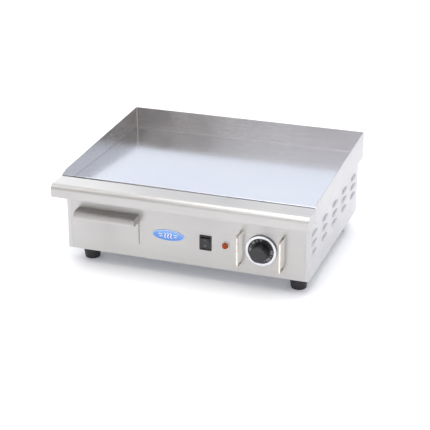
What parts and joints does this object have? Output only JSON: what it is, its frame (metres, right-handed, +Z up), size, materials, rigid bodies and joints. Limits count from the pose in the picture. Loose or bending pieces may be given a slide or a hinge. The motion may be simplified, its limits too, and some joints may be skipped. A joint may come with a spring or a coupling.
{
  "type": "electric griddle",
  "caption": "Countertop electric griddle: polished steel plate in a welded splash frame, pull-out grease drawer, rocker switch, lamp and guarded thermostat knob.",
  "frame": {"origin": "centre of the overall box, on the surface that the four feet stand on", "axes": "+X to the user's right along the width, +Y from the controls to the back, +Z up"},
  "size_m": [0.55, 0.474, 0.2265],
  "materials": {
    "polished_plate": "mirror-polished cooking plate",
    "brushed_sheet": "fine horizontal brushing",
    "satin_splash": "satin",
    "plain_steel": "plain zinc-plated or mill finish",
    "bright_steel": "bright polished",
    "black_plastic": "semi-gloss moulded",
    "lamp_amber": "translucent amber",
    "badge_blue": "domed gloss",
    "foot_rubber": "matt moulded",
    "fasteners": "plated",
    "element_sheath": "oxidised",
    "fibre": "ceramic fibre",
    "white_plastic": "moulded",
    "lead_sleeve": "heat-proof sleeve",
    "brass_fine": "drawn"
  },
  "bodies": {
    "body": {"griddle_plate": "polished_plate", "splash_left": "satin_splash", "splash_right": "satin_splash", "splash_back": "satin_splash", "front_rail": "brushed_sheet", "gutter_channel": "satin_splash", "drain_spout": "plain_steel", "front_panel": "brushed_sheet", "side_panel_left": "brushed_sheet", "side_panel_right": "brushed_sheet", "back_panel": "brushed_sheet", "base_panel": "plain_steel", "foot_bolts": "fasteners", "case_screws": "fasteners", "drawer_runner_left": "plain_steel", "drawer_runner_right": "plain_steel", "drawer_stop": "plain_steel", "switch_housing": "black_plastic", "lamp_lens": "lamp_amber", "lamp_body": "white_plastic", "lamp_nut": "fasteners", "badge": "badge_blue", "thermostat": "plain_steel", "thermostat_screws": "fasteners", "thermostat_capillary": "brass_fine", "limit_thermostat": "plain_steel", "limiter_capillary": "brass_fine", "bulb_clips": "plain_steel", "knob_guard_left": "bright_steel", "knob_guard_right": "bright_steel", "guard_nuts": "fasteners", "heating_element_left": "element_sheath", "heating_element_right": "element_sheath", "plate_studs": "fasteners", "stud_nuts": "fasteners", "reflector_sheet": "plain_steel", "insulation_blanket": "fibre", "insulation_tray": "plain_steel", "terminal_block": "white_plastic", "earth_stud": "fasteners", "cable_gland": "black_plastic", "gland_nut": "black_plastic", "element_clamp_1": "plain_steel", "element_clamp_2": "plain_steel", "element_clamp_3": "plain_steel", "lead_supply_switch": "lead_sleeve", "lead_switch_thermostat": "lead_sleeve", "lead_thermostat_element": "lead_sleeve", "lead_neutral_element": "lead_sleeve", "foot_front_left": "foot_rubber", "foot_front_right": "foot_rubber", "foot_back_left": "foot_rubber", "foot_back_right": "foot_rubber"},
    "drawer": {"drawer_front": "brushed_sheet", "drawer_tray": "satin_splash"},
    "knob": {"knob_body": "black_plastic", "knob_ring": "bright_steel", "thermostat_spindle": "fasteners"},
    "rocker": {"switch_rocker": "black_plastic"}
  },
  "joints": [
    {"name": "drawer_slide", "type": "slide", "parent": "body", "child": "drawer", "axis": [0, -1, 0], "range_m": [0, 0.185]},
    {"name": "knob_turn", "type": "hinge", "parent": "body", "child": "knob", "pos_m": [0.1648, -0.1945, 0.092], "axis": [0, 1, 0], "range_deg": [0, 270]},
    {"name": "switch_rock", "type": "hinge", "parent": "body", "child": "rocker", "pos_m": [0.045, -0.182, 0.091], "axis": [-1, 0, 0], "range_deg": [0, 20]}
  ]
}
